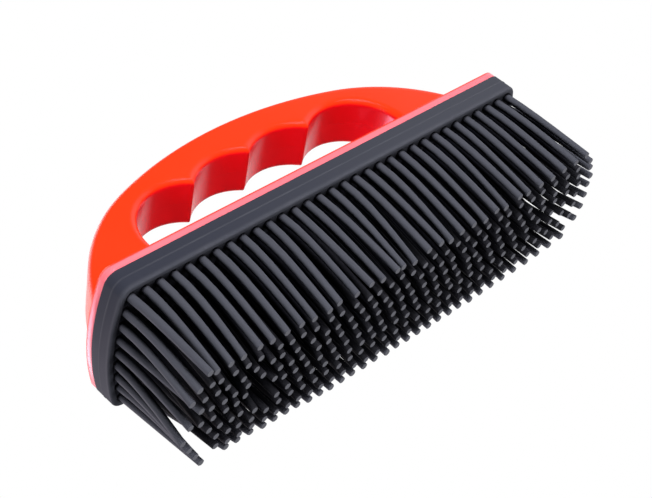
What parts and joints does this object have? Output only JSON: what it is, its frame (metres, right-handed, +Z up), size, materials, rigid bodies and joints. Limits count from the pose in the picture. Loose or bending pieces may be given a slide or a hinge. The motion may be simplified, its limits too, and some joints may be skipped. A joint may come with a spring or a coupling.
{
  "type": "rubber bristle hand brush",
  "caption": "Hand brush with a closed bow grip shaped by finger grooves, over a rubber pad with rows of moulded bristles that lift hair and lint from fabric.",
  "frame": {"origin": "on the plane of the bristle tips, under the middle of the pad", "axes": "+Z up from the bristle tips to the grip, +X along the brush, +Y across it"},
  "size_m": [0.1606, 0.046, 0.0816],
  "materials": {
    "handle_plastic": "glossy moulded plastic, orange-red",
    "pad_rubber": "satin moulded rubber, charcoal"
  },
  "bodies": {
    "root": {"handle": "handle_plastic", "pad_rim": "pad_rubber", "bristle_row_1": "pad_rubber", "bristle_row_2": "pad_rubber", "bristle_row_3": "pad_rubber", "bristle_row_4": "pad_rubber", "bristle_row_5": "pad_rubber", "bristle_row_6": "pad_rubber", "bristle_row_7": "pad_rubber", "bristle_row_8": "pad_rubber", "bristle_row_9": "pad_rubber"}
  },
  "joints": []
}
